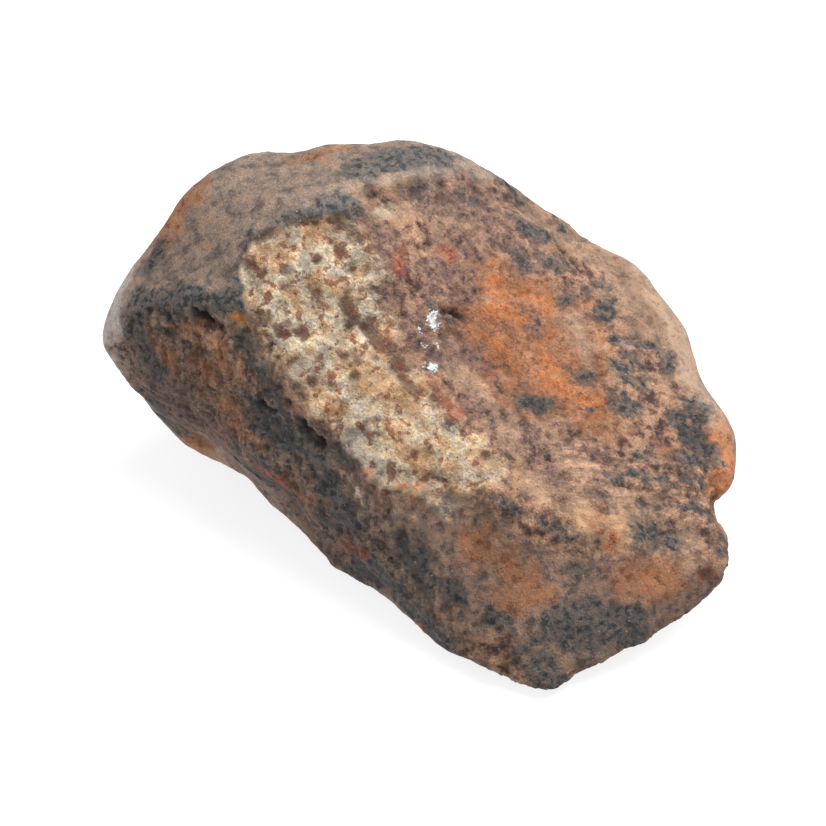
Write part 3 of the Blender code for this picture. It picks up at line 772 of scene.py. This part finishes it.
    isPatch = addNode(tree, "ShaderNodeMapRange", {"Value": patchEdge.outputs[0], "From Min": -0.25,
                                                  "From Max": 0.4}).outputs[0]
    colour = addNode(tree, "ShaderNodeMix", {"Factor": isPatch, "A": colour, "B": chipColour},
                     data_type="RGBA").outputs[2]

    # one by one: the dark lip of the crust, the chondrule, pale places and the bright rust
    for name, mark in markLooks.items():
        border = addNode(tree, "ShaderNodeMath", {0: edge, 1: mark["ragged"], 2: field[name]},
                         operation="MULTIPLY_ADD")
        share = addNode(tree, "ShaderNodeMapRange", {"Value": border.outputs[0], "From Min": -mark["edge"],
                                                    "From Max": mark["edge"], "To Max": mark["cover"]})
        colour = addNode(tree, "ShaderNodeMix", {"Factor": share.outputs[0], "A": colour,
                                                "B": linearColour(mark["hue"])},
                         data_type="RGBA").outputs[2]

    # fibres of rock, lighter and darker side by side
    for fabric in fabrics:
        drawnOut = addNode(tree, "ShaderNodeAttribute", attribute_name=fabric["where"] + "Place")
        fibres = addNode(tree, "ShaderNodeTexNoise", {"Vector": drawnOut.outputs["Vector"],
                                                     "Scale": 1 / fabric["size"],
                                                     "Detail": 4.0, "Roughness": 0.65})
        shade = addNode(tree, "ShaderNodeMapRange", {"Value": fibres.outputs["Fac"], "From Min": 0.36,
                                                    "From Max": 0.64, "To Min": 1 - fabric["shade"],
                                                    "To Max": 1 + fabric["shade"]})
        colour = addNode(tree, "ShaderNodeMix", {"Factor": field[fabric["where"]], "A": colour,
                                                "B": shade.outputs[0]}, data_type="RGBA",
                         blend_type="MULTIPLY").outputs[2]

    # a scatter of tiny pale specks, painted glints, and dark specks, painted shade of tiny pores
    specks = addNode(tree, "ShaderNodeTexVoronoi", {"Vector": place,
                                                   "Scale": 1 / surface["speckSpacing"]})
    for speck in surface["specks"]:
        isSpeck = addNode(tree, "ShaderNodeMapRange", {"Value": specks.outputs["Distance"],
                                                      "From Min": surface["speckRadius"][0],
                                                      "From Max": surface["speckRadius"][1],
                                                      "To Min": speck["cover"], "To Max": 0.0})
        chosen = addNode(tree, "ShaderNodeMapRange", {"Value": specks.outputs["Color"],
                                                     "From Min": speck["chosen"][0],
                                                     "From Max": speck["chosen"][1]})
        speckShare = addNode(tree, "ShaderNodeMath", {0: isSpeck.outputs[0], 1: chosen.outputs[0]},
                             operation="MULTIPLY")
        colour = addNode(tree, "ShaderNodeMix", {"Factor": speckShare.outputs[0], "A": colour,
                                                "B": linearColour(speck["hue"])},
                         data_type="RGBA").outputs[2]

    # nickel-iron: bright, metallic, broken up into small glints
    glints = addNode(tree, "ShaderNodeTexNoise", {"Vector": place, "Scale": 1 / surface["glintSize"],
                                                 "Detail": 2.0})
    glintEdge = addNode(tree, "ShaderNodeMapRange", {"Value": glints.outputs["Fac"], "From Min": 0.3,
                                                    "From Max": 0.7, "To Min": -0.28, "To Max": 0.24})
    metalEdge = addNode(tree, "ShaderNodeMath", {0: glintEdge.outputs[0], 1: field["metal"]},
                        operation="ADD")
    isMetal = addNode(tree, "ShaderNodeMapRange", {"Value": metalEdge.outputs[0], "From Min": 0.0,
                                                  "From Max": 0.12}).outputs[0]
    colour = addNode(tree, "ShaderNodeMix", {"Factor": isMetal, "A": colour,
                                            "B": linearColour(surface["metalHue"])},
                     data_type="RGBA").outputs[2]
    rough = addNode(tree, "ShaderNodeMix", {"Factor": isMetal, "A": rough, "B": surface["metalRough"]},
                    data_type="FLOAT").outputs[0]

    # painted shade and light: hollows painted darker, partly as dirt they hold, and high grains painted
    # paler, partly as rubbing
    hollowShadeAndWear = addNode(tree, "ShaderNodeMapRange", {"Value": field["relief"],
                                               "From Min": surface["hollowShadeDepth"][0],
                                               "From Max": surface["hollowShadeDepth"][1],
                                               "To Min": surface["hollowShadeRange"][0],
                                               "To Max": surface["hollowShadeRange"][1]})
    colour = addNode(tree, "ShaderNodeMix", {"Factor": 1.0, "A": colour, "B": hollowShadeAndWear.outputs[0]},
                     data_type="RGBA", blend_type="MULTIPLY").outputs[2]

    # grain too fine for the mesh
    gritFine = addNode(tree, "ShaderNodeTexNoise", {"Vector": place, "Scale": 1 / surface["gritSize"],
                                                   "Detail": 3.0, "Roughness": 0.6})
    bumpShare = addNode(tree, "ShaderNodeMapRange", {"Value": isBroken, "To Min": surface["gritOnCrust"],
                                                    "To Max": 1.0})
    bump = addNode(tree, "ShaderNodeBump", {"Height": gritFine.outputs["Fac"],
                                           "Strength": bumpShare.outputs[0],
                                           "Distance": surface["gritDepth"] * mm})
    shader = addNode(tree, "ShaderNodeBsdfPrincipled", {"Base Color": colour, "Roughness": rough,
                                                       "Metallic": isMetal, "Specular IOR Level": 0.3,
                                                       "Normal": bump.outputs[0]})
    addNode(tree, "ShaderNodeOutputMaterial", {"Surface": shader.outputs[0]})
    return material


layOutMap(stone.data, 0.025)
stone.data.materials.clear()
stone.data.materials.append(stoneMaterial())
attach(stone, "root")
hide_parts("meteorite_stone")
print("stone: material made")

studio = {
    "floorColour": "#8C8B8E",
    "floorGlow": 0.80,         # the board is lit through from below, so shadows on it are faint
    "floorSize": 3.0,          # m across
    "skyStrength": 0.69,
    "lampWatts": 5.3,
    "lampSize": 0.45,          # m across, so shadows stay soft
    "lampFrom": (0.10, 0.22, 0.48),
}


def setStudio():
    floorMesh = bpy.data.meshes.new("floor")
    half = studio["floorSize"] / 2
    floorMesh.from_pydata([(-half, -half, 0), (half, -half, 0), (half, half, 0), (-half, half, 0)], [],
                          [(0, 1, 2, 3)])
    floor = bpy.data.objects.new("floor", floorMesh)
    bpy.context.scene.collection.objects.link(floor)
    paper = bpy.data.materials.new("light_table")
    paper.use_nodes = True
    board = paper.node_tree.nodes["Principled BSDF"]
    board.inputs["Base Color"].default_value = linearColour(studio["floorColour"])
    board.inputs["Roughness"].default_value = 0.9
    board.inputs["Emission Color"].default_value = (1.0, 1.0, 1.0, 1.0)
    board.inputs["Emission Strength"].default_value = studio["floorGlow"]
    floorMesh.materials.append(paper)

    world = bpy.data.worlds.new("soft sky")
    world.use_nodes = True
    sky = world.node_tree.nodes["Background"]
    sky.inputs["Color"].default_value = (1.0, 1.0, 1.0, 1.0)
    sky.inputs["Strength"].default_value = studio["skyStrength"]
    bpy.context.scene.world = world

    lamp = bpy.data.objects.new("soft lamp", bpy.data.lights.new("soft lamp", "AREA"))
    lamp.data.energy = studio["lampWatts"]
    lamp.data.size = studio["lampSize"]
    lamp.location = studio["lampFrom"]
    lamp.rotation_mode = "QUATERNION"
    lamp.rotation_quaternion = Vector(studio["lampFrom"]).to_track_quat("Z", "Y")
    bpy.context.scene.collection.objects.link(lamp)
    bpy.context.scene.view_settings.view_transform = "Standard"


camera = {
    "aim": (0.0001, -0.0060, 0.0115),
    "distance": 0.2458,
    "lens": 150.0,
    "sensor": 36.0,
}


def setCamera():
    data = bpy.data.cameras.new("camera")
    data.lens = camera["lens"]
    data.sensor_width = camera["sensor"]
    data.clip_start = 0.01
    made = bpy.data.objects.new("camera", data)
    right = Vector((0.8192, 0.5736, 0.0))      # level: it looks 35 degrees round from the front, 45 down
    up = viewer.cross(right)
    made.matrix_world = Matrix.Translation(Vector(camera["aim"]) + viewer * camera["distance"]) @ Matrix(
        (right, up, viewer)).transposed().to_4x4()
    bpy.context.scene.collection.objects.link(made)
    bpy.context.scene.camera = made


setStudio()
setCamera()
print("studio and camera set")
